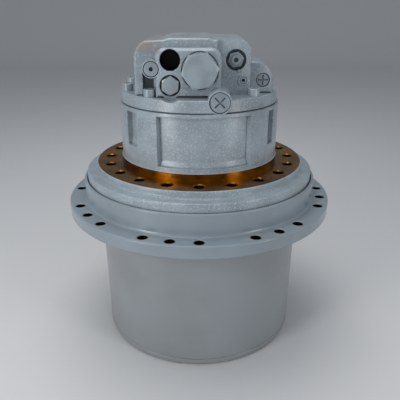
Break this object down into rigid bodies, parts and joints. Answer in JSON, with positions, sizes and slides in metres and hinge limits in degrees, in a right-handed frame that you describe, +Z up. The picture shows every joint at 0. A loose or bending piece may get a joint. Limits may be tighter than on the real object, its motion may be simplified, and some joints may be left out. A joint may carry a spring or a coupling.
{
  "type": "excavator final drive",
  "caption": "Track drive of an excavator: ring gear drum and sprocket flange turning round a fixed motor case with a valve block on top.",
  "frame": {"origin": "centre of the spin axis on the surface that the drive stands on, under the end cover's bolt heads", "axes": "+Z up the spin axis from the end cover to the motor; the valve ports face -Y"},
  "size_m": [0.47, 0.47, 0.536],
  "materials": {
    "painted_cast_iron": "satin",
    "painted_steel": "satin",
    "steel": "machined",
    "bronze": "machined",
    "seal_rubber": "matte",
    "plug_zinc": "satin"
  },
  "bodies": {
    "motor": {"motor_case": "painted_cast_iron", "rear_cover": "painted_cast_iron", "rear_cover_bolts": "steel", "spool_plugs": "painted_steel", "relief_valves": "steel", "two_speed_plug": "steel", "hex_port_plug": "painted_steel", "cross_port_plug": "plug_zinc", "drain_port_plug": "plug_zinc", "gauge_plugs": "steel", "valve_plate": "bronze", "brake_separator_plates": "steel", "brake_disc_spring": "steel", "shaft_bearings": "steel", "shaft_seal": "seal_rubber", "carrier_2": "steel", "planet_pins_2": "steel", "planet_bearings_2": "bronze", "bearing_nut": "steel", "main_bearing_inner_rings": "steel", "seal_ring_fixed": "steel", "seal_toric_fixed": "seal_rubber", "spool_springs": "steel"},
    "hub": {"hub": "painted_cast_iron", "ring_gear_drum": "painted_cast_iron", "end_cover": "painted_cast_iron", "end_cover_bolts": "steel", "housing_bolts": "steel", "end_cover_seal": "seal_rubber", "oil_plugs": "steel", "thrust_button": "steel", "main_bearing_outer_rings": "steel", "seal_ring_turning": "steel", "seal_toric_turning": "seal_rubber"},
    "first_carrier": {"carrier_1": "steel", "sun_gear_2": "steel", "planet_pins_1": "steel", "planet_bearings_1": "bronze"},
    "shaft": {"drive_shaft": "steel", "sun_gear_1": "steel", "cylinder_block": "steel", "motor_pistons": "steel", "piston_shoes": "bronze", "shoe_retainer_plate": "steel", "brake_friction_plates": "steel"},
    "bearing_balls": {"main_bearing_balls": "steel"},
    "swash": {"swash_plate": "steel"},
    "control_piston": {"control_piston": "steel"},
    "brake_piston": {"brake_piston": "steel"},
    "counterbalance_spool": {"counterbalance_spool": "steel"},
    "relief_poppet_front": {"relief_poppet_front": "steel"},
    "relief_poppet_back": {"relief_poppet_back": "steel"},
    "two_speed_spool": {"two_speed_spool": "steel"},
    "planet_1_a": {"planet_gear_1_a": "steel"},
    "planet_1_b": {"planet_gear_1_b": "steel"},
    "planet_1_c": {"planet_gear_1_c": "steel"},
    "planet_2_a": {"planet_gear_2_a": "steel"},
    "planet_2_b": {"planet_gear_2_b": "steel"},
    "planet_2_c": {"planet_gear_2_c": "steel"},
    "planet_2_d": {"planet_gear_2_d": "steel"}
  },
  "joints": [
    {"name": "hub_spin", "type": "hinge", "parent": "motor", "child": "hub", "pos_m": [0, 0, 0.25], "axis": [0, 0, 1], "continuous": true},
    {"name": "first_carrier_spin", "type": "hinge", "parent": "motor", "child": "first_carrier", "pos_m": [0, 0, 0.078], "axis": [0, 0, 1], "continuous": true},
    {"name": "shaft_spin", "type": "hinge", "parent": "motor", "child": "shaft", "pos_m": [0, 0, 0.28], "axis": [0, 0, 1], "continuous": true, "deforming": ["motor_pistons", "piston_shoes", "shoe_retainer_plate"]},
    {"name": "bearing_balls_spin", "type": "hinge", "parent": "motor", "child": "bearing_balls", "pos_m": [0, 0, 0.222], "axis": [0, 0, 1], "continuous": true},
    {"name": "swash_tilt", "type": "hinge", "parent": "motor", "child": "swash", "pos_m": [0, 0, 0.345], "axis": [1, 0, 0], "range_deg": [-6, 0], "deforming": ["motor_pistons", "piston_shoes", "shoe_retainer_plate"]},
    {"name": "control_piston_slide", "type": "slide", "parent": "motor", "child": "control_piston", "axis": [0, 0, 1], "range_m": [0, 0.006]},
    {"name": "brake_release", "type": "slide", "parent": "motor", "child": "brake_piston", "axis": [0, 0, 1], "range_m": [0, 0.0025], "stiffness_N_per_m": 50000, "springref_m": -0.004, "deforming": ["brake_disc_spring"]},
    {"name": "counterbalance_shift", "type": "slide", "parent": "motor", "child": "counterbalance_spool", "axis": [0, 1, 0], "range_m": [-0.008, 0.008], "stiffness_N_per_m": 20000, "deforming": ["spool_springs"]},
    {"name": "relief_front_lift", "type": "slide", "parent": "motor", "child": "relief_poppet_front", "axis": [0, -1, 0], "range_m": [0, 0.002], "stiffness_N_per_m": 20000, "springref_m": -0.001},
    {"name": "relief_back_lift", "type": "slide", "parent": "motor", "child": "relief_poppet_back", "axis": [0, 1, 0], "range_m": [0, 0.002], "stiffness_N_per_m": 20000, "springref_m": -0.001},
    {"name": "speed_shift", "type": "slide", "parent": "motor", "child": "two_speed_spool", "axis": [0, 1, 0], "range_m": [0, 0.008], "stiffness_N_per_m": 3000, "springref_m": -0.002},
    {"name": "planet_1_a_spin", "type": "hinge", "parent": "first_carrier", "child": "planet_1_a", "pos_m": [0, 0.09, 0.052], "axis": [0, 0, 1], "continuous": true},
    {"name": "planet_1_b_spin", "type": "hinge", "parent": "first_carrier", "child": "planet_1_b", "pos_m": [-0.07794, -0.045, 0.052], "axis": [0, 0, 1], "continuous": true},
    {"name": "planet_1_c_spin", "type": "hinge", "parent": "first_carrier", "child": "planet_1_c", "pos_m": [0.07794, -0.045, 0.052], "axis": [0, 0, 1], "continuous": true},
    {"name": "planet_2_a_spin", "type": "hinge", "parent": "motor", "child": "planet_2_a", "pos_m": [0.06788, 0.06788, 0.118], "axis": [0, 0, 1], "continuous": true},
    {"name": "planet_2_b_spin", "type": "hinge", "parent": "motor", "child": "planet_2_b", "pos_m": [-0.06788, 0.06788, 0.118], "axis": [0, 0, 1], "continuous": true},
    {"name": "planet_2_c_spin", "type": "hinge", "parent": "motor", "child": "planet_2_c", "pos_m": [-0.06788, -0.06788, 0.118], "axis": [0, 0, 1], "continuous": true},
    {"name": "planet_2_d_spin", "type": "hinge", "parent": "motor", "child": "planet_2_d", "pos_m": [0.06788, -0.06788, 0.118], "axis": [0, 0, 1], "continuous": true}
  ],
  "couplings": [
    {"joint": "first_carrier_spin", "follows": "hub_spin", "ratio": -3.8},
    {"joint": "shaft_spin", "follows": "hub_spin", "ratio": -29.857},
    {"joint": "bearing_balls_spin", "follows": "hub_spin", "ratio": 0.54118},
    {"joint": "control_piston_slide", "follows": "swash_tilt", "m_per_rad": -0.056},
    {"joint": "planet_1_a_spin", "follows": "hub_spin", "ratio": 11.768},
    {"joint": "planet_1_b_spin", "follows": "hub_spin", "ratio": 11.768},
    {"joint": "planet_1_c_spin", "follows": "hub_spin", "ratio": 11.768},
    {"joint": "planet_2_a_spin", "follows": "hub_spin", "ratio": 2.7143},
    {"joint": "planet_2_b_spin", "follows": "hub_spin", "ratio": 2.7143},
    {"joint": "planet_2_c_spin", "follows": "hub_spin", "ratio": 2.7143},
    {"joint": "planet_2_d_spin", "follows": "hub_spin", "ratio": 2.7143}
  ]
}
